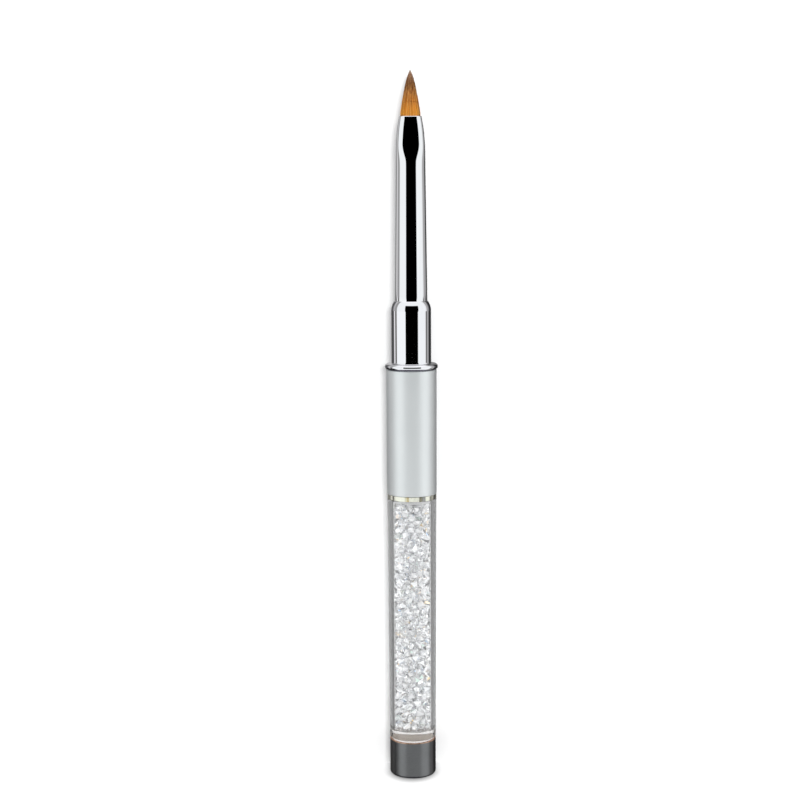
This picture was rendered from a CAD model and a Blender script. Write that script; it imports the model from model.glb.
"""A small retractable-style brush standing upright on its end cap, built about the Z axis.

From the floor up: gunmetal cap, clear plug and tube filled with cut chips, gold ring,
satin sleeve, chrome collar, chrome ferrule and the tuft. The ferrule's mouth is wide
along X and thin along Y. The camera stands at -Y and looks toward +Y.
Shapes are worked out in millimetres and scaled to metres when meshed.
"""

import math
import random

import bmesh
import bpy
import numpy as np
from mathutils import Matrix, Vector


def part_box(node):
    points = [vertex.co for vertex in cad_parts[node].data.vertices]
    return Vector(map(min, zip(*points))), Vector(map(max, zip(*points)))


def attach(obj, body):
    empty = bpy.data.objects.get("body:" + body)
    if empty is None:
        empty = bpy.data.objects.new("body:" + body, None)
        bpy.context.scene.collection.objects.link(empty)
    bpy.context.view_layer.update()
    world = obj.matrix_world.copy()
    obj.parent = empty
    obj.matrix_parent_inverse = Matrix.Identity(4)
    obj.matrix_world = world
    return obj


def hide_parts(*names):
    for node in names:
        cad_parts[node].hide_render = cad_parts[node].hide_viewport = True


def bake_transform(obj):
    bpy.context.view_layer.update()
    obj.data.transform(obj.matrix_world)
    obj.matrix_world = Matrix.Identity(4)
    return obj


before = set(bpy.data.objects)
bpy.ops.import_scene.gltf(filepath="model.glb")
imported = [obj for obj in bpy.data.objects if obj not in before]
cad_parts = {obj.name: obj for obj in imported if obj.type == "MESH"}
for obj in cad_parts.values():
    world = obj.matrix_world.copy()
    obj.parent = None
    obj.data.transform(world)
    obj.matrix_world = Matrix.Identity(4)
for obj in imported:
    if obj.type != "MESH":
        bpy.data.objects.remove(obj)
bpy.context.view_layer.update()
MM = 0.001
TAU = 2 * math.pi


# --------------------------------------------------------------------------
# Levels and sizes, read from the frame (millimetres)
# --------------------------------------------------------------------------
def span(node):
    low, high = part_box(node)
    return low.z / MM, high.z / MM


def radius(node):
    low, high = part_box(node)
    return (high.x - low.x) / 2 / MM


CAP_BOTTOM, CAP_TOP = span("end_cap")
CAP_R = radius("end_cap")
TUBE_BOTTOM, SPIGOT_TOP = span("handle_tube")
TUBE_R = radius("handle_tube")
PLUG_BOTTOM, PLUG_TOP = span("end_plug")
PLUG_R = radius("end_plug")
STOPPER_BOTTOM = span("tube_stopper")[0]
RING_BOTTOM, RING_TOP = span("trim_ring")
RING_R = radius("trim_ring")
SLEEVE_BOTTOM, SLEEVE_TOP = span("grip_sleeve")
SLEEVE_TOP_R = radius("grip_sleeve")
COLLAR_BOTTOM, COLLAR_TOP = span("neck_collar")
FLANGE_R = radius("neck_collar")
FERRULE_BOTTOM, MOUTH_Z = span("ferrule")
FERRULE_R = radius("ferrule")
ROOT_BOTTOM = span("hair_root")[0]
TIP_Z = span("hair_tip")[1]

CLEARANCE = 0.03  # gap between neighbouring parts
BORE_R = radius("tube_stopper") + CLEARANCE
SPIGOT_R = radius("handle_core")
SHOULDER_Z = RING_BOTTOM - CLEARANCE


# --------------------------------------------------------------------------
# Mesh helpers
# --------------------------------------------------------------------------
def link_object(name, mesh):
    ob = bpy.data.objects.new(name, mesh)
    bpy.context.scene.collection.objects.link(ob)
    return ob


def shade(mesh, sharp):
    """Smooth faces, with edges steeper than sharp degrees kept crisp."""
    mesh.polygons.foreach_set("use_smooth", np.ones(len(mesh.polygons), bool))
    if sharp is not None:
        mesh.set_sharp_from_angle(angle=math.radians(sharp))
    mesh.update()


def new_object(name, verts, faces, mats, sharp=None, face_mats=None):
    """A smooth mesh object; verts are in metres."""
    mesh = bpy.data.meshes.new(name)
    mesh.from_pydata([tuple(v) for v in verts], [], [tuple(f) for f in faces])
    mesh.validate(verbose=False)
    for mat in mats:
        mesh.materials.append(mat)
    if face_mats is not None:
        mesh.polygons.foreach_set("material_index", np.asarray(face_mats, np.int32))
    shade(mesh, sharp)
    return link_object(name, mesh)


def add_values(mesh, name, domain, values):
    layer = mesh.attributes.new(name, "FLOAT", domain)
    layer.data.foreach_set("value", np.asarray(values, np.float32))


def fillet(points, radii, steps=5):
    """Rounds the corners of a closed 2-D loop. radii holds one radius per corner."""
    out = []
    for i, (point, corner_r) in enumerate(zip(points, radii)):
        corner = np.array(point, float)
        to_last = np.array(points[i - 1], float) - corner
        to_next = np.array(points[(i + 1) % len(points)], float) - corner
        last_len, next_len = np.linalg.norm(to_last), np.linalg.norm(to_next)
        if corner_r <= 0 or last_len < 1e-9 or next_len < 1e-9:
            out.append(tuple(corner))
            continue
        to_last, to_next = to_last / last_len, to_next / next_len
        angle = math.acos(max(-1, min(1, float(to_last @ to_next))))
        if angle > math.pi - 0.02:  # nearly straight
            out.append(tuple(corner))
            continue
        # The cut stays under half of either side.
        cut = min(corner_r / math.tan(angle / 2), last_len * 0.49, next_len * 0.49)
        corner_r = cut * math.tan(angle / 2)
        middle = to_last + to_next
        centre = corner + middle / np.linalg.norm(middle) * (corner_r / math.sin(angle / 2))
        start, end = corner + to_last * cut - centre, corner + to_next * cut - centre
        first = math.atan2(start[1], start[0])
        turn = (math.atan2(end[1], end[0]) - first + math.pi) % TAU - math.pi
        for k in range(steps + 1):
            t = first + turn * k / steps
            out.append((centre[0] + corner_r * math.cos(t), centre[1] + corner_r * math.sin(t)))
    return out


def arc_points(centre_r, centre_z, arc_r, start, end, steps):
    """Points of an arc in the (r, z) plane, from start to end degrees."""
    angles = [math.radians(start + (end - start) * i / steps) for i in range(steps + 1)]
    return [(centre_r + arc_r * math.cos(t), centre_z + arc_r * math.sin(t)) for t in angles]


def about(r, z, offsets):
    """Points given as (r, z) offsets from one place."""
    return [(r + dr, z + dz) for dr, dz in offsets]


def hold_long_edges(loop, longest=0.9, inset=0.03):
    """Adds a point near each end of every long edge, so smooth shading stays flat there."""
    fine = []
    for (r0, z0), (r1, z1) in zip(loop, loop[1:] + loop[:1]):
        fine.append((r0, z0))
        length = math.hypot(r1 - r0, z1 - z0)
        if length > longest and not (r0 < 1e-9 and r1 < 1e-9):
            for t in (inset / length, 1 - inset / length):
                fine.append((r0 + (r1 - r0) * t, z0 + (z1 - z0) * t))
    return fine


def lathe(name, loop, mats, segs, sharp, pick=None):
    """Turns a closed loop of (r, z) into a solid. pick(r, z) gives a face's material index."""
    loop = hold_long_edges(loop)
    k = len(loop)
    verts, faces, face_mats = [], [], []
    for i in range(segs):
        c, s = math.cos(TAU * i / segs), math.sin(TAU * i / segs)
        verts += [(r * c * MM, r * s * MM, z * MM) for r, z in loop]
    for i in range(segs):
        here, there = i * k, (i + 1) % segs * k
        for m, (r0, z0) in enumerate(loop):
            m2 = (m + 1) % k
            r1, z1 = loop[m2]
            if r0 < 1e-9 and r1 < 1e-9:
                continue
            if r0 < 1e-9:
                face = (here + m, there + m2, here + m2)
            elif r1 < 1e-9:
                face = (here + m, there + m, here + m2)
            else:
                face = (here + m, there + m, there + m2, here + m2)
            faces.append(face)
            if pick:
                face_mats.append(pick((r0 + r1) / 2, (z0 + z1) / 2))
    ob = new_object(name, verts, faces, mats, face_mats=face_mats if pick else None)
    # The points on the axis coincide: merge them.
    bm = bmesh.new()
    bm.from_mesh(ob.data)
    bmesh.ops.remove_doubles(bm, verts=bm.verts, dist=1e-9)
    bmesh.ops.recalc_face_normals(bm, faces=bm.faces)
    bm.to_mesh(ob.data)
    bm.free()
    shade(ob.data, sharp)
    return ob


def oval(half_x, half_y, power, angle):
    """Point on a superellipse; power 2 is an ellipse, more is squarer."""
    def lift(c):
        return math.copysign(abs(c) ** (2.0 / power), c)
    return half_x * lift(math.cos(angle)), half_y * lift(math.sin(angle))


def oval_loft(name, rows, columns, material, sharp, capped=True, groove=1.0):
    """Skins rows of (half_x, half_y, z, power). Capped rows get end faces; otherwise the
    last row joins the first. groove scales every third column."""
    n = columns
    verts, faces = [], []
    for half_x, half_y, z, power in rows:
        for i in range(n):
            k = 1.0 if i % 3 else groove
            x, y = oval(half_x * k, half_y * k, power, TAU * i / n)
            verts.append((x * MM, y * MM, z * MM))
    for j in range(len(rows) - 1 if capped else len(rows)):
        j2 = (j + 1) % len(rows)
        for i in range(n):
            i2 = (i + 1) % n
            faces.append((j * n + i, j * n + i2, j2 * n + i2, j2 * n + i))
    if capped:
        faces.append(tuple(reversed(range(n))))
        faces.append(tuple(range((len(rows) - 1) * n, len(rows) * n)))
    return new_object(name, verts, faces, [material], sharp=sharp)


def clamp01(t):
    return min(1.0, max(0.0, t))


def smooth01(t):
    t = clamp01(t)
    return t * t * (3 - 2 * t)


# --------------------------------------------------------------------------
# Node helpers
# --------------------------------------------------------------------------
def grey(level, tint=(1.0, 1.0, 1.0)):
    return tuple(level * part for part in tint)


class Graph:
    """Node tree of a material or world. Wherever a helper takes a value, it may be a
    number, a tuple or the output socket of another node. Colours are (r, g, b)."""

    def __init__(self, owner):
        owner.use_nodes = True
        self.tree = owner.node_tree
        self.tree.nodes.clear()

    def put(self, socket, value):
        if isinstance(value, bpy.types.NodeSocket):
            self.tree.links.new(value, socket)
        elif socket.type == "RGBA":
            socket.default_value = (*value, 1)
        else:
            socket.default_value = value

    def node(self, kind, inputs=None, **settings):
        made = self.tree.nodes.new(kind)
        for key, value in settings.items():
            setattr(made, key, value)
        for key, value in (inputs or {}).items():
            self.put(made.inputs[key], value)
        return made

    def math(self, operation, *values, clamp=False):
        return self.node("ShaderNodeMath", dict(enumerate(values)),
                         operation=operation, use_clamp=clamp).outputs[0]

    def vector_math(self, operation, *values):
        made = self.node("ShaderNodeVectorMath", dict(enumerate(values)), operation=operation)
        return made.outputs["Value" if operation in ("LENGTH", "DOT_PRODUCT") else "Vector"]

    def separate(self, vector):
        return self.node("ShaderNodeSeparateXYZ", {0: vector}).outputs

    def map_range(self, value, over=(0.3, 0.7), to=(0.0, 1.0), smooth=False):
        """Maps the range over onto the range to. The default over is the middle of a noise."""
        inputs = {"From Min": over[0], "From Max": over[1],
                  "To Min": to[0], "To Max": to[1], "Value": value}
        kind = "SMOOTHSTEP" if smooth else "LINEAR"
        return self.node("ShaderNodeMapRange", inputs, interpolation_type=kind).outputs["Result"]

    def rise(self, value, at, width):
        """0 below at, 1 above, eased over width."""
        return self.map_range(value, over=(at - width / 2, at + width / 2), smooth=True)

    def fall(self, value, at, width):
        return self.math("SUBTRACT", 1.0, self.rise(value, at, width))

    def mix(self, factor, a, b, blend="MIX"):
        return self.node("ShaderNodeMix", data_type="RGBA", blend_type=blend,
                         inputs=None) if False else self._mix(factor, a, b, blend)

    def _mix(self, factor, a, b, blend):
        made = self.node("ShaderNodeMix", data_type="RGBA", blend_type=blend)
        # Of the node's sockets, 0 is the factor and 6, 7 and output 2 are the colours.
        for index, value in ((0, factor), (6, a), (7, b)):
            self.put(made.inputs[index], value)
        return made.outputs[2]

    def mottle(self, noise, a, b, over=(0.3, 0.7), to=(0.0, 1.0)):
        """Mixes colours a and b by a noise."""
        return self.mix(self.map_range(noise, over, to), a, b)

    def ramp(self, factor, stops, mode="LINEAR"):
        """stops are (position, colour)."""
        made = self.node("ShaderNodeValToRGB", {"Fac": factor})
        made.color_ramp.interpolation = mode
        marks = made.color_ramp.elements
        while len(marks) > 1:
            marks.remove(marks[-1])
        marks[0].position = stops[0][0]
        marks[0].color = (*stops[0][1], 1)
        for position, colour in stops[1:]:
            marks.new(position).color = (*colour, 1)
        return made.outputs["Color"]


class Mat(Graph):
    """A material with one Principled shader. Its inputs are named with _ for a space."""

    def __init__(self, name, **inputs):
        self.material = bpy.data.materials.new(name)
        super().__init__(self.material)
        self.shader = self.node("ShaderNodeBsdfPrincipled")
        self.node("ShaderNodeOutputMaterial", {"Surface": self.shader.outputs["BSDF"]})
        self.set(**inputs)

    def set(self, **inputs):
        for key, value in inputs.items():
            self.put(self.shader.inputs[key.replace("_", " ")], value)

    def coords(self, scale=(1, 1, 1)):
        position = self.node("ShaderNodeTexCoord").outputs["Object"]
        return self.node("ShaderNodeMapping",
                         {"Scale": scale, "Vector": position}).outputs["Vector"]

    def noise(self, vector, scale, detail=3.0, roughness=0.5):
        inputs = {"Scale": scale, "Detail": detail, "Roughness": roughness, "Vector": vector}
        return self.node("ShaderNodeTexNoise", inputs).outputs["Fac"]

    def attribute(self, name):
        return self.node("ShaderNodeAttribute", attribute_name=name).outputs["Fac"]

    def bump(self, height, strength, distance):
        inputs = {"Strength": strength, "Distance": distance, "Height": height}
        self.set(Normal=self.node("ShaderNodeBump", inputs).outputs["Normal"])


# --------------------------------------------------------------------------
# Materials
# --------------------------------------------------------------------------
def chrome(name, tint=(0.93, 0.93, 0.95), rim=1.0):
    """Bright plating. rim under 1 darkens it toward the edges, except where it faces up."""
    m = Mat(name, Metallic=1.0, Base_Color=tint)
    smudge = m.noise(m.coords((1, 1, 0.25)), scale=260.0, detail=4.0)
    m.set(Roughness=m.map_range(smudge, over=(0.35, 0.75), to=(0.018, 0.05)))
    tone = m.noise(m.coords(), scale=120.0, detail=2.0)
    dull = (tint[0] * 0.985, tint[1] * 0.985, tint[2] * 0.99)
    colour = m.mottle(tone, dull, tint)
    if rim < 1.0:
        edge = m.node("ShaderNodeLayerWeight", {"Blend": 0.5}).outputs["Facing"]
        white, dark = grey(1.0), (rim, rim, rim * 1.06)
        fade = m.ramp(edge, [(0.0, white), (0.46, white), (0.53, dark), (1.0, dark)])
        normal = m.node("ShaderNodeNewGeometry").outputs["Normal"]
        sideways = m.map_range(m.separate(normal)[2], over=(0.45, 0.8), to=(1.0, 0.0))
        colour = m.mix(sideways, colour, fade, blend="MULTIPLY")
    m.set(Base_Color=colour)
    return m.material


def satin():
    """Silver paint with a fine grain and broad clouds."""
    m = Mat("satin_silver", Metallic=0.85)
    grain = m.noise(m.coords((1, 1, 0.35)), scale=9000.0, roughness=0.6)
    cloud = m.noise(m.coords((1, 1, 0.6)), scale=190.0)
    colour = m.mottle(cloud, (0.82, 0.846, 0.854), (0.86, 0.884, 0.890))
    colour = m.mottle(grain, colour, (0.90, 0.91, 0.915), over=(0.4, 0.62), to=(0.0, 0.12))
    m.set(Base_Color=colour, Roughness=m.map_range(grain, to=(0.40, 0.48)))
    m.bump(grain, strength=0.16, distance=0.00002)
    return m.material


def gunmetal():
    """Dark metal, brushed around the axis."""
    m = Mat("gunmetal", Metallic=1.0, Anisotropic=0.85, Anisotropic_Rotation=0.25)
    tangent = m.node("ShaderNodeTangent", direction_type="RADIAL", axis="Z")
    m.set(Tangent=tangent.outputs["Tangent"])
    streak = m.noise(m.coords((0.15, 0.15, 1)), scale=9000.0, detail=2.0, roughness=0.6)
    cloud = m.noise(m.coords(), scale=240.0)
    colour = m.mottle(cloud, (0.185, 0.187, 0.190), (0.205, 0.207, 0.212))
    colour = m.mottle(streak, colour, (0.27, 0.27, 0.28), over=(0.35, 0.65), to=(0.0, 0.25))
    m.set(Base_Color=colour, Roughness=m.map_range(streak, to=(0.30, 0.36)))
    return m.material


def copper():
    """Bare metal on the cap's rim."""
    m = Mat("bare_rim", Metallic=1.0)
    grain = m.noise(m.coords(), scale=1500.0)
    m.set(Base_Color=m.mottle(grain, (0.62, 0.38, 0.26), (0.78, 0.52, 0.38)),
          Roughness=m.map_range(grain, to=(0.22, 0.38)))
    return m.material


def cap_inside():
    """Inside of the cap: bare brownish metal near the rim, bright below."""
    m = Mat("cap_inside", Metallic=0.35)
    position = m.coords()
    grain = m.noise(position, scale=900.0)
    # Height over 10 mm, made uneven by the grain.
    height = m.math("ADD", m.map_range(m.separate(position)[2], over=(0.0, 0.01)),
                    m.map_range(grain, to=(-0.02, 0.02)))
    colour = m.ramp(height, [
        (0.0, (0.94, 0.93, 0.92)), (0.70, (0.95, 0.93, 0.91)), (0.74, (0.92, 0.83, 0.73)),
        (0.82, (0.95, 0.87, 0.79)), (0.88, (0.96, 0.89, 0.83))])
    m.set(Base_Color=m.mottle(grain, colour, (0.78, 0.72, 0.66),
                              over=(0.35, 0.65), to=(0.15, 0.0)),
          Roughness=m.map_range(grain, to=(0.34, 0.5)))
    return m.material


def gold():
    """Bright pale gold. The ring is rolled from strip: its joint shows as a thin darker line,
    and there is a small dull patch where it was pressed home."""
    m = Mat("pale_gold", Metallic=1.0)
    position = m.coords()
    grain = m.noise(m.coords((1, 1, 0.5)), scale=2400.0, roughness=0.6)
    blotch = m.noise(position, scale=900.0, detail=2.0)
    around = m.node("ShaderNodeTexGradient", {0: position}, gradient_type="RADIAL")
    turn = m.math("ADD", around.outputs["Fac"], m.map_range(blotch, to=(-0.0015, 0.0015)))
    plate = (0.955, 0.945, 0.825)
    joint = (0.62, 0.50, 0.27)
    colour = m.ramp(turn, [
        # The joint.
        (0.0, plate), (0.200, plate), (0.208, (0.80, 0.76, 0.58)), (0.216, (0.86, 0.78, 0.54)),
        (0.2205, joint), (0.2260, joint), (0.230, (0.92, 0.89, 0.72)), (0.236, plate),
        # The dull patch.
        (0.296, plate), (0.299, (0.10, 0.09, 0.06)), (0.306, (0.30, 0.28, 0.20)),
        (0.316, (0.24, 0.23, 0.20)), (0.328, (0.36, 0.365, 0.36)),
        (0.338, (0.26, 0.265, 0.26)), (0.346, plate), (1.0, plate)])
    colour = m.mottle(blotch, colour, (0.62, 0.60, 0.46), over=(0.45, 0.75), to=(0.0, 0.12))
    colour = m.mottle(grain, colour, (0.72, 0.70, 0.56), over=(0.35, 0.65), to=(0.06, 0.0))
    m.set(Base_Color=colour, Roughness=m.map_range(grain, to=(0.12, 0.22)))
    m.bump(grain, strength=0.12, distance=0.00003)
    return m.material


def acrylic(name, tint=(0.985, 0.99, 0.995), ior=1.49, haze=0.0):
    """Clear plastic, faintly rough in places. haze is the share that isn't see-through."""
    m = Mat(name, Base_Color=tint, Roughness=0.0, IOR=ior, Transmission_Weight=1.0 - haze)
    smear = m.noise(m.coords((1, 1, 0.2)), scale=300.0, detail=2.0)
    m.set(Roughness=m.map_range(smear, over=(0.55, 0.8), to=(0.0, 0.03)))
    return m.material


def ground_edge():
    """Turned edge of the clear tube: left satin, so it catches light and looks white."""
    m = Mat("ground_edge", Base_Color=(0.95, 0.965, 1.0), Roughness=0.35, IOR=1.49,
            Transmission_Weight=0.35)
    grain = m.noise(m.coords(), scale=1500.0, detail=2.0)
    m.set(Roughness=m.map_range(grain, to=(0.25, 0.45)))
    return m.material


def crystal():
    """Cut clear chips. The face attribute facet sets how grey and how clear each facet is;
    glint makes a few of them mirrors and gives some of those a colour."""
    m = Mat("crystal", IOR=1.6)
    facet = m.attribute("facet")
    glint = m.attribute("glint")
    colour = m.ramp(facet, [(0.0, (0.76, 0.765, 0.775)), (0.25, (0.91, 0.915, 0.925)),
                            (0.6, (0.97, 0.97, 0.975)), (1.0, grey(1.0))])
    tint = m.ramp(glint, [(0.0, grey(1.0)), (0.960, (1.0, 0.80, 0.50)),
                          (0.967, (1.0, 0.90, 0.80)), (0.980, (0.70, 0.84, 1.0)),
                          (0.992, (0.82, 0.96, 0.88))], "CONSTANT")
    colour = m.mix(1.0, colour, tint, blend="MULTIPLY")
    grain = m.noise(m.coords(), scale=1600.0, detail=2.0)
    clear = [(0.0, 0.85), (0.45, 0.75), (0.62, 0.30), (0.80, 0.12), (0.9, 0.5)]
    mirror = [(0.0, 0.0), (0.84, 0.9)]
    m.set(Base_Color=m.mottle(grain, colour, (0.6, 0.61, 0.63),
                              over=(0.35, 0.65), to=(0.10, 0.0)),
          Transmission_Weight=m.ramp(facet, [(at, grey(level)) for at, level in clear]),
          Metallic=m.ramp(glint, [(at, grey(level)) for at, level in mirror], "CONSTANT"),
          Roughness=m.map_range(grain, over=(0.4, 0.8), to=(0.02, 0.09)))
    return m.material


def plastic(name, dark, light, roughness=0.45):
    m = Mat(name)
    grain = m.noise(m.coords(), scale=800.0)
    m.set(Base_Color=m.mottle(grain, dark, light),
          Roughness=m.map_range(grain, to=(roughness - 0.05, roughness + 0.07)))
    m.bump(grain, strength=0.1, distance=0.00002)
    return m.material


def hair_material(name, core=False):
    """Golden at the ferrule, brown in the last third, paler at the very tip; each strand
    has its own tone, kept in the point attribute tone (0 dark to 1 light)."""
    m = Mat(name, Roughness=0.7 if core else 0.42, Specular_IOR_Level=0.32)
    height = m.attribute("height")
    streak = m.noise(m.coords((1, 1, 0.06)), scale=3200.0, detail=2.0, roughness=0.6)
    height = m.math("ADD", height, m.map_range(streak, to=(-0.07, 0.07)), clamp=True)
    base = m.ramp(height, [
        (0.0, (0.74, 0.322, 0.036)), (0.16, (0.69, 0.268, 0.024)), (0.36, (0.49, 0.165, 0.018)),
        (0.56, (0.36, 0.128, 0.026)), (0.70, (0.22, 0.080, 0.024)), (0.82, (0.26, 0.135, 0.075)),
        (1.0, (0.52, 0.34, 0.24))])
    if core:
        m.set(Base_Color=m.mix(0.62, base, (0.10, 0.04, 0.012)))
        return m.material
    tone = m.attribute("tone")
    dark = m.mottle(tone, base, (0.07, 0.025, 0.008), over=(0.0, 0.45), to=(0.75, 0.0))
    light = m.mottle(tone, dark, (0.90, 0.58, 0.20), over=(0.6, 1.0), to=(0.0, 0.55))
    m.set(Base_Color=light, Roughness=m.map_range(streak, to=(0.32, 0.5)))
    return m.material


M_CHROME_FERRULE = chrome("chrome_ferrule")
M_CHROME_COLLAR = chrome("chrome_collar", tint=(0.93, 0.925, 0.955), rim=0.3)
M_SATIN = satin()
M_GUNMETAL = gunmetal()
M_COPPER = copper()
M_CAP_INSIDE = cap_inside()
M_GOLD = gold()
M_TUBE = acrylic("clear_tube")
M_EDGE = ground_edge()
M_PLUG = acrylic("clear_plug", tint=(0.985, 0.97, 0.955), ior=1.0, haze=0.15)
M_CRYSTAL = crystal()
M_WHITE = plastic("white_plastic", dark=(0.80, 0.80, 0.78), light=(0.88, 0.88, 0.86))
M_GREY = plastic("grey_plastic", dark=(0.50, 0.50, 0.50), light=(0.58, 0.58, 0.58))
M_GLUE = plastic("adhesive", dark=(0.62, 0.46, 0.20), light=(0.72, 0.56, 0.28), roughness=0.2)
M_THREAD = plastic("thread", dark=(0.78, 0.74, 0.64), light=(0.88, 0.85, 0.78), roughness=0.7)
M_HAIR = hair_material("hair")
M_HAIR_CORE = hair_material("hair_core", core=True)

# Parts that keep their CAD mesh and only change material.
for node_name, node_mat in (("handle_core", M_WHITE), ("tube_stopper", M_GREY),
                            ("root_adhesive", M_GLUE), ("binding_thread", M_THREAD)):
    node_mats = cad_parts[node_name].data.materials
    node_mats.clear()
    node_mats.append(node_mat)


# --------------------------------------------------------------------------
# Handle: cap, plug, tube, chips, ring, sleeve
# --------------------------------------------------------------------------
def fit(ob, node):
    """Fixes a part to the body in place of a CAD node."""
    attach(ob, "brush_body")
    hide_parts(node)


def build_cap():
    """Open cup with a rounded foot and an eased rim."""
    foot_r = 0.75
    inner_r = CAP_R - 0.6
    floor_z = 1.0
    floor_fillet = 0.4
    loop = [(0.0, CAP_BOTTOM)]
    loop += arc_points(CAP_R - foot_r, CAP_BOTTOM + foot_r, foot_r, start=-90, end=0, steps=14)
    loop += about(CAP_R, CAP_TOP, [(0, -0.10), (-0.03, -0.03), (-0.10, 0)])
    loop += about(inner_r, CAP_TOP, [(0.06, 0), (0, -0.06)])
    loop += arc_points(inner_r - floor_fillet, floor_z + floor_fillet, floor_fillet,
                       start=0, end=-90, steps=8)
    loop += [(0.0, floor_z)]

    def pick(r, z):
        if z > CAP_TOP - 0.12:
            return 1
        return 2 if r < inner_r + 0.01 and z > floor_z - 0.01 else 0

    mats = [M_GUNMETAL, M_COPPER, M_CAP_INSIDE]
    fit(lathe("end_cap_shell", loop, mats, segs=192, sharp=40, pick=pick), "end_cap")


def build_plug():
    """The plug is bonded to the tube and the cap, so the two read as one clear block: the
    tube's mesh is closed round the plug, which lies just inside it with no step in index."""
    inset = 0.02
    low, step, high = PLUG_BOTTOM + inset, TUBE_BOTTOM - CLEARANCE, PLUG_TOP - CLEARANCE
    wide, narrow = PLUG_R - inset, BORE_R - 0.06
    loop = fillet([(0.0, low), (wide, low), (wide, step), (narrow, step), (narrow, high),
                   (0.0, high)], radii=[0, 0.3, 0.02, 0.02, 0.2, 0])
    plug = lathe("end_plug_body", loop, [M_PLUG], segs=128, sharp=40)
    fit(plug, "end_plug")


def build_tube():
    """Clear tube: bevelled satin edge above the cap, and a thin spigot above the shoulder."""
    corner_r = 0.3
    bevel = about(CAP_R, TUBE_BOTTOM, [(-1.2, 0), (-0.44, 0), (-0.02, 0.56), (0, 1.6)])
    loop = [(0.0, PLUG_BOTTOM)]
    loop += arc_points(PLUG_R - corner_r, PLUG_BOTTOM + corner_r, corner_r,
                       start=-90, end=0, steps=5)
    loop += [(PLUG_R, TUBE_BOTTOM)]
    loop += fillet(bevel, radii=[0, 0.08, 0.16, 0])[1:-1]
    loop += about(TUBE_R, SHOULDER_Z, [(0, -0.12), (-0.04, -0.03), (-0.12, 0)])
    loop += [(SPIGOT_R, SHOULDER_Z), (SPIGOT_R, SPIGOT_TOP), (BORE_R, SPIGOT_TOP)]
    loop += about(BORE_R, PLUG_TOP, [(0, 0.15), (-0.12, 0.02), (-0.3, 0)])
    loop += [(0.0, PLUG_TOP)]
    tube = lathe("handle_tube_clear", loop, [M_TUBE, M_EDGE], segs=224, sharp=35,
                 pick=lambda r, z: 1 if z < TUBE_BOTTOM + 0.09 and r > PLUG_R else 0)
    fit(tube, "handle_tube")


def pack_spheres(count, r_low, r_high, bore, z_low, z_high, seed, steps=130):
    """Loose packing: spheres of mixed size pushed apart inside the bore."""
    rng = np.random.default_rng(seed)
    radii = rng.uniform(r_low, r_high, count)
    angle = rng.uniform(0, TAU, count)
    out = np.sqrt(rng.uniform(0, 1, count)) * (bore - radii)
    places = np.stack([out * np.cos(angle), out * np.sin(angle),
                       rng.uniform(z_low, z_high, count)], 1)
    for _ in range(steps):
        apart = places[:, None, :] - places[None, :, :]
        dist = np.sqrt((apart ** 2).sum(2)) + 1e-9
        overlap = np.clip(radii[:, None] + radii[None, :] - dist, 0, None)
        np.fill_diagonal(overlap, 0)
        # Each step undoes 0.28 of every overlap.
        places += ((apart / dist[:, :, None]) * overlap[:, :, None]).sum(1) * 0.28
        out = np.hypot(places[:, 0], places[:, 1])
        limit = bore - radii * 0.93
        pull = np.where(out > limit, limit / np.maximum(out, 1e-9), 1.0)
        places[:, :2] *= pull[:, None]
        places[:, 2] = np.clip(places[:, 2], z_low + radii * 0.8, z_high - radii * 0.8)
    return places, radii


def random_turn(rng):
    """Rotation matrix of a random quaternion."""
    q = rng.normal(size=4)
    q /= np.linalg.norm(q)
    w, x, y, z = q
    return np.array([
        [1 - 2 * (y * y + z * z), 2 * (x * y - z * w), 2 * (x * z + y * w)],
        [2 * (x * y + z * w), 1 - 2 * (x * x + z * z), 2 * (y * z - x * w)],
        [2 * (x * z - y * w), 2 * (y * z + x * w), 1 - 2 * (x * x + y * y)]])


def chip_points(rng, centre, chip_r, z_low, z_high):
    """Points near a squashed sphere, kept inside the bore."""
    points = rng.normal(size=(int(rng.integers(10, 17)), 3))
    points /= np.linalg.norm(points, axis=1)[:, None]
    points *= rng.uniform(0.90, 1.0, (len(points), 1))
    points *= np.array([1.0, rng.uniform(0.75, 1.0), rng.uniform(0.6, 1.0)])
    points = points @ random_turn(rng).T * (chip_r * 1.14) + centre
    out = np.hypot(points[:, 0], points[:, 1])
    points[:, :2] *= np.minimum(1.0, (BORE_R - 0.03) / np.maximum(out, 1e-9))[:, None]
    points[:, 2] = np.clip(points[:, 2], z_low, z_high)
    return points


def build_chips():
    """Irregular cut chips: each is the convex hull of a few points near a sphere."""
    z_low, z_high = PLUG_TOP + 0.05, STOPPER_BOTTOM - 0.05
    places, radii = pack_spheres(count=680, r_low=0.70, r_high=1.12, bore=BORE_R - 0.02,
                                 z_low=z_low, z_high=z_high, seed=11)
    rng = np.random.default_rng(5)
    bm = bmesh.new()
    for centre, chip_r in zip(places, radii):
        points = chip_points(rng, centre, chip_r, z_low, z_high)
        corners = [bm.verts.new(tuple(p * MM)) for p in points]
        hull = bmesh.ops.convex_hull(bm, input=corners)
        spare = {g for g in hull["geom_interior"] + hull["geom_unused"]
                 if isinstance(g, bmesh.types.BMVert)}
        if spare:
            bmesh.ops.delete(bm, geom=list(spare), context="VERTS")
    bmesh.ops.recalc_face_normals(bm, faces=bm.faces)
    mesh = bpy.data.meshes.new("crystals")
    bm.to_mesh(mesh)
    bm.free()
    mesh.materials.append(M_CRYSTAL)
    for key in ("facet", "glint"):
        add_values(mesh, key, "FACE", rng.uniform(0, 1, len(mesh.polygons)))
    fit(link_object("crystals", mesh), "crystal_chips")


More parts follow.
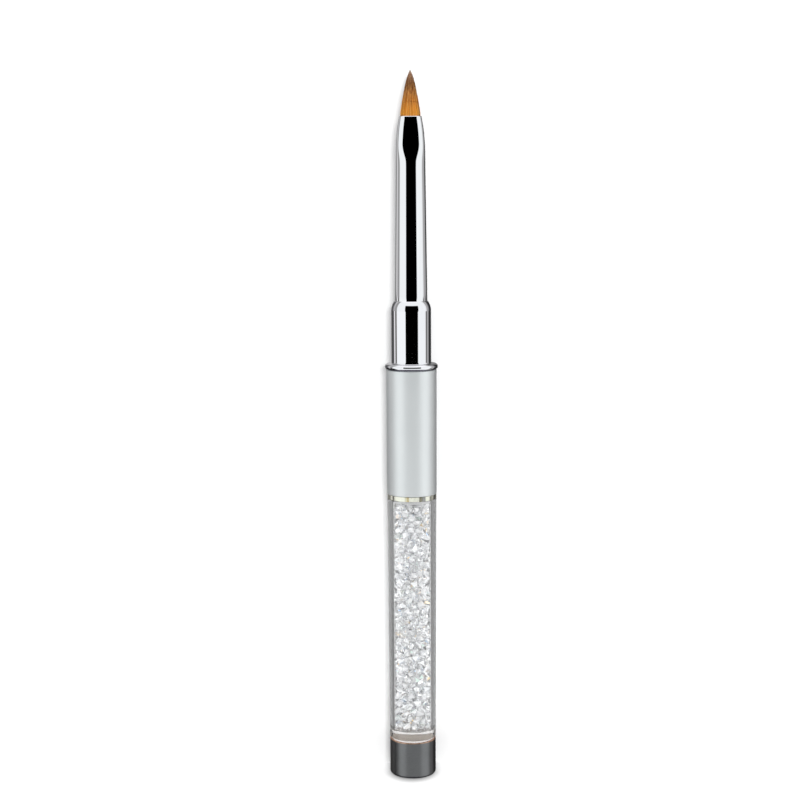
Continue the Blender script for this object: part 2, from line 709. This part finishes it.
def build_ring():
    inner_r = SPIGOT_R + CLEARANCE
    loop = fillet([(inner_r, RING_BOTTOM), (RING_R, RING_BOTTOM), (RING_R, RING_TOP),
                   (inner_r, RING_TOP)], radii=[0.02, 0.07, 0.07, 0.02], steps=4)
    ring = lathe("trim_ring_band", loop, [M_GOLD], segs=200, sharp=40)
    fit(ring, "trim_ring")


def build_sleeve():
    """Slightly tapered sleeve."""
    inner_r = SPIGOT_R + CLEARANCE
    bottom_r = 5.975
    loop = fillet([(inner_r, SLEEVE_BOTTOM), (bottom_r, SLEEVE_BOTTOM),
                   (SLEEVE_TOP_R, SLEEVE_TOP), (inner_r, SLEEVE_TOP)],
                  radii=[0.04, 0.13, 0.06, 0.04], steps=6)
    sleeve = lathe("grip_sleeve_tube", loop, [M_SATIN], segs=192, sharp=40)
    fit(sleeve, "grip_sleeve")


def build_collar():
    """Rounded flange, straight neck and a domed shoulder closing on the ferrule."""
    inner_r = FERRULE_R + CLEARANCE
    neck_r = 4.77
    flange_z = SLEEVE_TOP + 0.06
    flange_h = 1.5
    round_r = flange_h / 2
    neck_z = flange_z + flange_h
    foot_r = 0.16  # fillet between flange and neck
    dome_r = 3.8
    dome_h = math.sqrt(dome_r ** 2 - (dome_r - (neck_r - inner_r) + 0.06) ** 2)
    dome_z = COLLAR_TOP - dome_h
    edge = 0.03
    loop = [(inner_r, COLLAR_BOTTOM), (SPIGOT_R - 0.1, COLLAR_BOTTOM),
            (SPIGOT_R, COLLAR_BOTTOM + 0.1), (SPIGOT_R, flange_z),
            (FLANGE_R - round_r - 0.05, flange_z)]
    loop += arc_points(FLANGE_R - round_r, flange_z + round_r, round_r,
                       start=-90, end=90, steps=24)
    loop += [(neck_r + 0.22, neck_z)]
    loop += arc_points(neck_r + foot_r, neck_z + foot_r, foot_r, start=270, end=180, steps=6)
    loop += [(neck_r, neck_z + 0.5), (neck_r, dome_z - 0.4)]
    loop += [(neck_r - dome_r + dome_r * math.cos(t), dome_z + dome_r * math.sin(t))
             for t in np.linspace(0, math.asin((dome_h - edge) / dome_r), 22)]
    loop += [(inner_r + edge, COLLAR_TOP), (inner_r, COLLAR_TOP - edge)]
    collar = lathe("neck_collar_shell", loop, [M_CHROME_COLLAR], segs=224, sharp=50)
    fit(collar, "neck_collar")


build_cap()
build_plug()
build_tube()
build_chips()
build_ring()
build_sleeve()
build_collar()

# --------------------------------------------------------------------------
# Ferrule: a round cone, crimped to an oval mouth with a rolled lip
# --------------------------------------------------------------------------
CRIMP_H = 12.0
CRIMP_Z = MOUTH_Z - CRIMP_H
CRIMP_R = 3.53
MOUTH_HALF_X, MOUTH_HALF_Y = 2.62, 1.90
FERRULE_WALL = 0.20
LIP = 0.50


def ferrule_section(z):
    """Outer half sizes in x and y, and superellipse power, at height z."""
    if z <= CRIMP_Z:
        start = COLLAR_TOP + 0.5
        r = FERRULE_R + (CRIMP_R - FERRULE_R) * clamp01((z - start) / (CRIMP_Z - start))
        return r, r, 2.0
    s = (z - CRIMP_Z) / CRIMP_H
    # The y size eases in over the first fifth, then falls evenly.
    flatten = 2.5 * s * s / 0.9 if s < 0.2 else (s - 0.1) / 0.9
    # The section grows squarer to 0.46 of the crimp, then rounder again toward the mouth.
    power = 2 + 0.80 * smooth01((s - 0.10) / 0.36) - 0.48 * clamp01((s - 0.46) / 0.54)
    return (CRIMP_R - (CRIMP_R - MOUTH_HALF_X) * s ** 2.9,
            CRIMP_R - (CRIMP_R - MOUTH_HALF_Y) * flatten, power)


def build_ferrule():
    lip_z = MOUTH_Z - LIP
    levels = [FERRULE_BOTTOM, *np.linspace(COLLAR_TOP - 1, CRIMP_Z, 40),
              *np.linspace(CRIMP_Z, lip_z, 110)[1:]]

    def row(z, inset):
        half_x, half_y, power = ferrule_section(z)
        return half_x - inset, half_y - inset, z, power

    rows = [row(z, 0.0) for z in levels]
    half_x, half_y, power = ferrule_section(lip_z)
    for angle in (12, 26, 42, 60, 78, 90):
        t = math.radians(angle)
        inset = LIP * 0.35 * (1 - math.cos(t))
        rows.append((half_x - inset, half_y - inset, lip_z + LIP * math.sin(t), power))
    inset = FERRULE_WALL - 0.02
    rows.append((half_x - inset, half_y - inset, MOUTH_Z, power))
    rows += [row(z, FERRULE_WALL) for z in reversed(levels)]
    ferrule = oval_loft("ferrule_shell", rows, columns=224, material=M_CHROME_FERRULE,
                        sharp=60, capped=False)
    fit(ferrule, "ferrule")


build_ferrule()

# --------------------------------------------------------------------------
# Hair
# --------------------------------------------------------------------------
HAIR_H = TIP_Z - MOUTH_Z
HAIR_HALF_X = MOUTH_HALF_X - FERRULE_WALL - CLEARANCE
HAIR_HALF_Y = MOUTH_HALF_Y - FERRULE_WALL - CLEARANCE
HAIR_START_Z = MOUTH_Z - 1.2  # strands begin inside the ferrule
SPLIT_Z = MOUTH_Z + 3.3  # lower and upper hair meet here
CROWN_FROM = 0.5  # share of the height above which strands draw in
CROWN_POWER = 0.62
STRAND_COUNT = 1500
SKIN_COUNT = 950  # the first strands lie on the outside
STRAND_STEPS = 15
WAVE = 0.035


def hair_section(z):
    """Half sizes of the tuft in x and y, and superellipse power, at height z."""
    h = clamp01((z - MOUTH_Z) / HAIR_H)
    swell = 0.12 * smooth01(h * 12)
    half_x = max(0.03, (HAIR_HALF_X + swell - 1.82 * h) * (1 - h ** 9))
    half_y = max(0.03, HAIR_HALF_Y * (half_x / HAIR_HALF_X) ** 0.9)
    return half_x, half_y, 2.3 - 0.3 * smooth01(h * 2)


def mark_height(ob):
    """Keeps each point's height up the tuft at rest, 0 at the ferrule and 1 at the tip."""
    z = np.array([v.co.z for v in ob.data.vertices], np.float32)
    add_values(ob.data, "height", "POINT", (z / MM - MOUTH_Z) / HAIR_H)


def crown(h):
    """How far out, from 0 to 1, a strand may lie at height share h."""
    return 1.0 if h < CROWN_FROM else max(0.02, (1 - h) / 0.5) ** CROWN_POWER


def strand_path(out, angle, length, rng):
    """Points up one hair. out is where it sits between the centre (0) and the skin (1)."""
    points = []
    top_z = MOUTH_Z + HAIR_H * length
    phase_x, phase_y = rng.uniform(0, TAU), rng.uniform(0, TAU)
    for i in range(STRAND_STEPS + 1):
        z = HAIR_START_Z + (top_z - HAIR_START_Z) * i / STRAND_STEPS
        h = max(0.0, (z - MOUTH_Z) / HAIR_H)
        half_x, half_y, power = hair_section(z)
        q = min(1.0, out / crown(h))
        x, y = oval(half_x * q, half_y * q, power, angle)
        sway = WAVE * min(1.0, h * 3) * (1 - 0.5 * h)
        x += sway * math.sin(phase_x + h * 5.0)
        y += sway * math.cos(phase_y + h * 4.0)
        points.append((x, y, z))
    return points


def random_strand(rng, skin):
    """Path, tone and radius of one hair."""
    out = 1.0 - 0.10 * rng.random() if skin else math.sqrt(rng.random()) * 0.9
    angle = rng.uniform(0, TAU)
    if skin:
        length = min(1.0, 0.40 + 0.62 * (rng.random() ** 0.8))
        if length > CROWN_FROM:
            out = min(out, crown(length) * (0.96 + 0.05 * rng.random()) + 0.02)
    else:
        length = (1 - 0.5 * out ** (1 / CROWN_POWER)) * rng.uniform(0.9, 1.0)
    path = strand_path(out, angle, length, rng)
    kind = rng.random()
    if kind < 0.20:
        tone = 0.20 * rng.random()
    elif kind > 0.84:
        tone = 0.85 + 0.15 * rng.random()
    else:
        tone = 0.4 + 0.3 * rng.random()
    return path, tone, rng.uniform(0.034, 0.052)


def split_path(path):
    """Cuts a path at SPLIT_Z; both halves share the point there."""
    lower, upper = [], []
    for a, b in zip(path[:-1], path[1:]):
        (lower if a[2] < SPLIT_Z else upper).append(a)
        if a[2] < SPLIT_Z <= b[2]:
            t = (SPLIT_Z - a[2]) / (b[2] - a[2])
            cut = tuple(a[m] + (b[m] - a[m]) * t for m in range(3))
            lower.append(cut)
            upper.append(cut)
    (upper if path[-1][2] >= SPLIT_Z else lower).append(path[-1])
    return lower, upper


class Strands:
    """Gathers three-sided hairs into one mesh."""

    def __init__(self):
        self.verts, self.faces, self.tones = [], [], []

    def add(self, points, strand_r, tone, taper):
        """taper thins the hair to a point at its end."""
        if len(points) < 2:
            return
        last = len(points) - 1
        base = len(self.verts)
        for i, (x, y, z) in enumerate(points):
            r = strand_r * (max(0.12, min(1.0, (1 - i / last) * 4.0)) if taper else 1.0)
            for k in range(3):
                t = TAU * k / 3 + 0.5
                self.verts.append((x + r * math.cos(t), y + r * math.sin(t), z))
                self.tones.append(tone)
        for i in range(last):
            low, high = base + i * 3, base + (i + 1) * 3
            for k in range(3):
                k2 = (k + 1) % 3
                self.faces.append((low + k, low + k2, high + k2, high + k))
        end = base + last * 3
        self.faces.append((base + 2, base + 1, base))
        self.faces.append((end, end + 1, end + 2))

    def build(self, name):
        verts = [(x * MM, y * MM, z * MM) for x, y, z in self.verts]
        ob = new_object(name, verts, self.faces, [M_HAIR])
        add_values(ob.data, "tone", "POINT", self.tones)
        mark_height(ob)
        return ob


def build_strands():
    rng = random.Random(21)
    lower, upper = Strands(), Strands()
    for i in range(STRAND_COUNT):
        path, tone, strand_r = random_strand(rng, skin=i < SKIN_COUNT)
        low_points, high_points = split_path(path)
        lower.add(low_points, strand_r, tone, taper=not high_points)
        upper.add(high_points, strand_r, tone, taper=True)
    return lower.build("hair_lower"), upper.build("hair_upper")


def even_levels(low, high, count):
    return [low + (high - low) * j / (count - 1) for j in range(count)]


def build_core(name, z_low, z_high, scale):
    """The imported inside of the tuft, behind the strands."""
    rows = []
    for z in even_levels(z_low, z_high, 18):
        half_x, half_y, power = hair_section(z)
        rows.append((half_x * scale, half_y * scale, z, power))
    ob = oval_loft(name, rows, columns=48, material=M_HAIR_CORE, sharp=50)
    mark_height(ob)
    return ob


def build_root():
    """The bound root of the tuft inside the ferrule: a fluted bundle of packed hairs."""
    bound_r = CRIMP_R - FERRULE_WALL - 0.35 - 0.30
    inset = FERRULE_WALL + 0.06
    rows = []
    for z in even_levels(ROOT_BOTTOM, MOUTH_Z - 0.9, 26):
        half_x, half_y, power = ferrule_section(z)
        limit = bound_r + 0.5 * clamp01((z - ROOT_BOTTOM - 2.4) / 3)
        rows.append((min(half_x - inset, limit), min(half_y - inset, limit), z, power))
    ob = oval_loft("hair_root_bundle", rows, columns=180, material=M_HAIR_CORE, sharp=50,
                   groove=0.965)
    mark_height(ob)
    return ob


hair_lower, hair_upper = build_strands()
core_lower = build_core("hair_core_lower", HAIR_START_Z, SPLIT_Z, scale=0.90)
core_upper = build_core("hair_core_upper", SPLIT_Z, TIP_Z - 0.9, scale=0.88)
for hair in (hair_lower, core_lower):
    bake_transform(hair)
for hair in (hair_upper, core_upper):
    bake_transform(hair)
fit(build_root(), "hair_root")
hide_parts("hair_belly")
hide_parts("hair_tip")


# --------------------------------------------------------------------------
# Stage: pale floor and a wall behind (metres)
# --------------------------------------------------------------------------
CARD_SIZE = 1.2


def foot_shade(g, position, foot):
    """Factor that darkens the floor within about foot of the axis, stretched toward -Y."""
    front = g.vector_math("MINIMUM", position, (1, 0, 0))  # y held at 0 on the +Y side
    patch = g.vector_math("MULTIPLY_ADD", front, (1, 0.80, 0), (0.0002, 0, 0))
    return g.map_range(g.vector_math("LENGTH", patch), over=(foot - 0.0010, foot + 0.0028),
                       to=(0.40, 1.0), smooth=True)


def stage_material(name, matt, glow, facing, axes, foot=None):
    """White card: partly lit, partly glowing, so that only real shade near the object shows.
    glow is its strength near the object, with distance measured along axes only.
    It is clear from behind and when seen more slanted than the cosine facing allows."""
    material = bpy.data.materials.new(name)
    g = Graph(material)
    geometry = g.node("ShaderNodeNewGeometry").outputs
    position = geometry["Position"]
    distance = g.vector_math("LENGTH", g.vector_math("MULTIPLY", position, axes))
    strength = g.map_range(distance, over=(0.009, 0.022), to=(glow, 1.0), smooth=True)
    colour = grey(matt)
    if foot is not None:
        shadow = foot_shade(g, position, foot)
        behind = g.map_range(g.separate(position)[1], over=(0.0055, 0.0085), smooth=True)
        strength = g.math("MAXIMUM", g.math("MULTIPLY", strength, shadow), behind)
        colour = g.math("MULTIPLY", shadow, matt)
    diffuse = g.node("ShaderNodeBsdfDiffuse", {"Color": colour})
    emission = g.node("ShaderNodeEmission", {"Color": grey(1.0), "Strength": strength})
    card = g.node("ShaderNodeAddShader", {0: diffuse.outputs[0], 1: emission.outputs[0]})
    clear = g.node("ShaderNodeBsdfTransparent")
    slant = g.vector_math("DOT_PRODUCT", geometry["Incoming"], geometry["True Normal"])
    seen = g.map_range(slant, over=(facing, facing + 0.05))
    front = g.math("SUBTRACT", seen, geometry["Backfacing"], clamp=True)
    surface = g.node("ShaderNodeMixShader", {0: front, 1: clear.outputs[0], 2: card.outputs[0]})
    g.node("ShaderNodeOutputMaterial", {"Surface": surface.outputs[0]})
    return material


def build_stage():
    n = 96
    verts = [(0, 0, 0)]
    verts += [(CARD_SIZE * math.cos(TAU * i / n), CARD_SIZE * math.sin(TAU * i / n), 0)
              for i in range(n)]
    faces = [(0, 1 + i, 1 + (i + 1) % n) for i in range(n)]
    floor_card = stage_material("floor_card", matt=0.80, glow=0.36, facing=0.0,
                                axes=(1, 1, 0), foot=0.00477)
    floor = new_object("floor", verts, faces, [floor_card])
    y = (FLANGE_R + 0.6) * MM
    verts = [(-CARD_SIZE, y, 0), (CARD_SIZE, y, 0),
             (CARD_SIZE, y, CARD_SIZE), (-CARD_SIZE, y, CARD_SIZE)]
    wall_card = stage_material("wall_card", matt=0.77, glow=0.0, facing=0.80, axes=(1, 0, 0))
    wall = new_object("wall", verts, [(0, 1, 2, 3)], [wall_card])
    for ob in (floor, wall):
        ob.visible_glossy = False
        ob.visible_transmission = False
        ob.visible_shadow = False
        ob.visible_diffuse = False


build_stage()

# --------------------------------------------------------------------------
# World: studio surroundings that turn with the camera
# --------------------------------------------------------------------------
CAMERA_PITCH = 7.0  # degrees the camera looks down
COOL = (0.968, 1.0, 1.0)

# Surroundings by azimuth: (degrees, brightness[, tint]). Azimuth 0 is behind the camera,
# + to its right. The first three are what polished surfaces see, and differ with height:
# low ones face the cap, middle ones the neck, high ones the ferrule.
LOW_CARDS = [
    (-180, 0.16), (-150, 0.05), (-100, 0.01), (-87, 0.02), (-76, 1.03, COOL), (0, 1.03, COOL),
    (87, 1.03, COOL), (92, 0.75), (96, 0.12), (102, 0.12), (106, 0.42), (118, 0.42),
    (123, 0.02), (142, 0.01), (152, 0.06), (180, 0.13)]
MIDDLE_CARDS = [
    (-180, 0.40), (-150, 0.28), (-141, 0.17), (-127, 0.20), (-119, 0.34), (-114, 0.92),
    (-106.5, 0.85), (-104, 0.02), (-96, 0.02), (-92.5, 0.80), (-87, 1.0, COOL),
    (-40, 1.0, COOL), (0, 0.965, COOL), (87, 0.965, COOL), (92, 0.75), (96, 0.12),
    (102, 0.12), (106, 0.42), (118, 0.42), (122, 0.10), (142, 0.06), (152, 0.20), (180, 0.40)]
HIGH_CARDS = [
    (-180, 0.55), (-156, 0.50), (-150, 0.20), (-134, 0.22), (-128, 0.66), (-117, 0.66),
    (-112, 0.40), (-100, 0.30), (-93, 0.34), (-88, 0.95, COOL), (0, 0.965, COOL),
    (90, 0.965, COOL), (98, 0.82), (103, 0.40), (128, 0.40), (132, 0.04), (150, 0.04),
    (156, 0.20), (180, 0.25)]
# Seen through the clear parts: an even grey behind, bright sides.
THROUGH_CARDS = [
    (-180, 0.13), (-130, 0.14), (-119, 0.25), (-108, 0.75), (-60, 0.85), (-30, 0.8),
    (38, 0.8), (60, 0.85), (108, 0.75), (119, 0.27), (130, 0.15), (180, 0.13)]
# Light that has gone through the chips has crossed many faces: it sees brighter cards.
SPARK_CARDS = [
    (-180, 2.35), (-152, 1.45), (-122, 1.1), (-74, 1.3), (-35, 1.15), (30, 1.05),
    (64, 1.4), (100, 1.05), (140, 1.3), (180, 2.35)]


def by_azimuth(g, azimuth, cards):
    turn = g.math("ADD", g.math("DIVIDE", azimuth, 360.0), 0.5)
    return g.ramp(turn, [(at / 360 + 0.5, grey(*light)) for at, *light in cards])


def to_camera(g, vector):
    """x, y and z of a world direction as the camera sees it."""
    turned = g.node("ShaderNodeVectorTransform", {0: vector}, vector_type="VECTOR",
                    convert_from="WORLD", convert_to="CAMERA")
    return g.separate(turned.outputs[0])


def degrees(g, operation, *values):
    return g.math("MULTIPLY", g.math(operation, *values), 180 / math.pi)


def polished_view(g, azimuth, elevation, tilt):
    """What mirrors see: the cards by height, a bright top, a dark flag and a dark floor."""
    middle = by_azimuth(g, azimuth, MIDDLE_CARDS)
    high = by_azimuth(g, azimuth, HIGH_CARDS)
    view = g.mix(g.rise(tilt, at=-2.9, width=0.8), middle, high)
    low = by_azimuth(g, azimuth, LOW_CARDS)
    view = g.mix(g.rise(tilt, at=-14.0, width=3), low, view)
    view = g.mix(g.rise(elevation, at=56, width=10), view, (1.05, 1.05, 1.06))
    # Black flag behind the camera, 2.4 degrees wider on each side for the high cards.
    widen = g.math("MULTIPLY", g.rise(tilt, at=-2.9, width=0.8), 2.4)
    flag = g.math("MULTIPLY",
                  g.rise(g.math("ADD", azimuth, widen), at=-33.5, width=1.5),
                  g.fall(g.math("SUBTRACT", azimuth, widen), at=40.0, width=1.5))
    flag = g.math("MULTIPLY", flag,
                  g.math("SUBTRACT", g.rise(elevation, at=-14, width=2),
                         g.rise(elevation, at=31, width=4)))
    view = g.mix(flag, view, grey(0.0))
    return g.mix(g.fall(elevation, at=-48, width=10), view, (0.045, 0.034, 0.060))


def build_world():
    world = bpy.data.worlds.new("studio")
    bpy.context.scene.world = world
    g = Graph(world)
    direction = g.node("ShaderNodeTexCoord").outputs["Generated"]
    x, y, z = to_camera(g, direction)
    azimuth = degrees(g, "ARCTAN2", x, g.math("MULTIPLY", z, -1.0))
    elevation = degrees(g, "ARCSINE", y)
    tilt = degrees(g, "ARCSINE", g.separate(direction)[2])
    # Extra camera pitch beyond its own shifts the heights that mirrors see.
    camera_up = to_camera(g, (0, 0, 1))
    pitch = degrees(g, "ARCSINE", g.math("MULTIPLY", camera_up[2], -1.0))
    extra = g.math("SUBTRACT", pitch, CAMERA_PITCH)
    tilt = g.math("ADD", tilt, extra)
    shifted = g.math("ADD", elevation, g.math("MULTIPLY", extra, 2.0))
    polished = polished_view(g, azimuth, shifted, tilt)

    through = by_azimuth(g, azimuth, THROUGH_CARDS)
    through = g.mix(g.rise(elevation, at=4, width=6), through, (0.95, 0.95, 0.96))
    through = g.mix(g.fall(elevation, at=-55, width=20), through, grey(0.45))

    # Matt surfaces: a plain dome, dimmer behind the object.
    toward_camera = g.math("MULTIPLY", z, -1.0)
    matt = g.mix(g.rise(toward_camera, at=-0.2, width=0.8), (0.55, 0.55, 0.56), grey(1.0))

    spark = by_azimuth(g, azimuth, SPARK_CARDS)
    spark = g.mix(g.rise(elevation, at=40, width=30), spark, grey(2.5))

    ray = g.node("ShaderNodeLightPath").outputs
    many_faces = g.math("GREATER_THAN", ray["Ray Depth"], 5.5)
    through = g.mix(many_faces, through, spark)
    colour = g.mix(ray["Is Transmission Ray"], polished, through)
    colour = g.mix(ray["Is Diffuse Ray"], colour, matt)
    colour = g.mix(ray["Is Camera Ray"], colour, grey(1.0))
    background = g.node("ShaderNodeBackground", {"Strength": 1.0, "Color": colour})
    g.node("ShaderNodeOutputWorld", {"Surface": background.outputs[0]})


build_world()


# --------------------------------------------------------------------------
# Key light, camera and render settings (metres)
# --------------------------------------------------------------------------
def build_key():
    """Square light in front, above and a little to +X; it shows in no mirror or glass."""
    data = bpy.data.lights.new("key", "AREA")
    data.shape = "RECTANGLE"
    data.size = data.size_y = 0.14
    data.energy = 3.8
    key = bpy.data.objects.new("key", data)
    key.location = (0.088, -0.80, 0.27)
    target = Vector((0, 0, 0.08))
    key.rotation_euler = (target - Vector(key.location)).to_track_quat("-Z", "Y").to_euler()
    key.visible_glossy = False
    key.visible_transmission = False
    key.visible_camera = False
    bpy.context.scene.collection.objects.link(key)


def build_camera():
    data = bpy.data.cameras.new("camera")
    data.sensor_width = 36.0
    data.lens = 75.4
    data.clip_start = 0.005
    data.clip_end = 20
    camera = bpy.data.objects.new("camera", data)
    pitch = math.radians(CAMERA_PITCH)
    roll = math.radians(-0.3)
    aim = Vector((-0.00276, 0.0, 0.0923))
    distance = 0.402
    camera.location = aim + Vector((0, -math.cos(pitch), math.sin(pitch))) * distance
    camera.rotation_euler = (math.pi / 2 - pitch, 0, 0)
    camera.rotation_euler.rotate_axis("Z", roll)
    bpy.context.scene.collection.objects.link(camera)
    bpy.context.scene.camera = camera


def set_render():
    """Many bounces, so that light gets through the tube and the chips."""
    scene = bpy.context.scene
    scene.view_settings.view_transform = "Standard"
    scene.view_settings.look = "None"
    cycles = scene.cycles
    cycles.max_bounces = 20
    cycles.transmission_bounces = 16
    cycles.glossy_bounces = 16
    cycles.diffuse_bounces = 4
    cycles.transparent_max_bounces = 12
    cycles.caustics_refractive = True
    cycles.caustics_reflective = True
    cycles.blur_glossy = 0.0
    cycles.sample_clamp_indirect = 6.0
    cycles.use_denoising = True


build_key()
build_camera()
set_render()

bpy.context.view_layer.update()
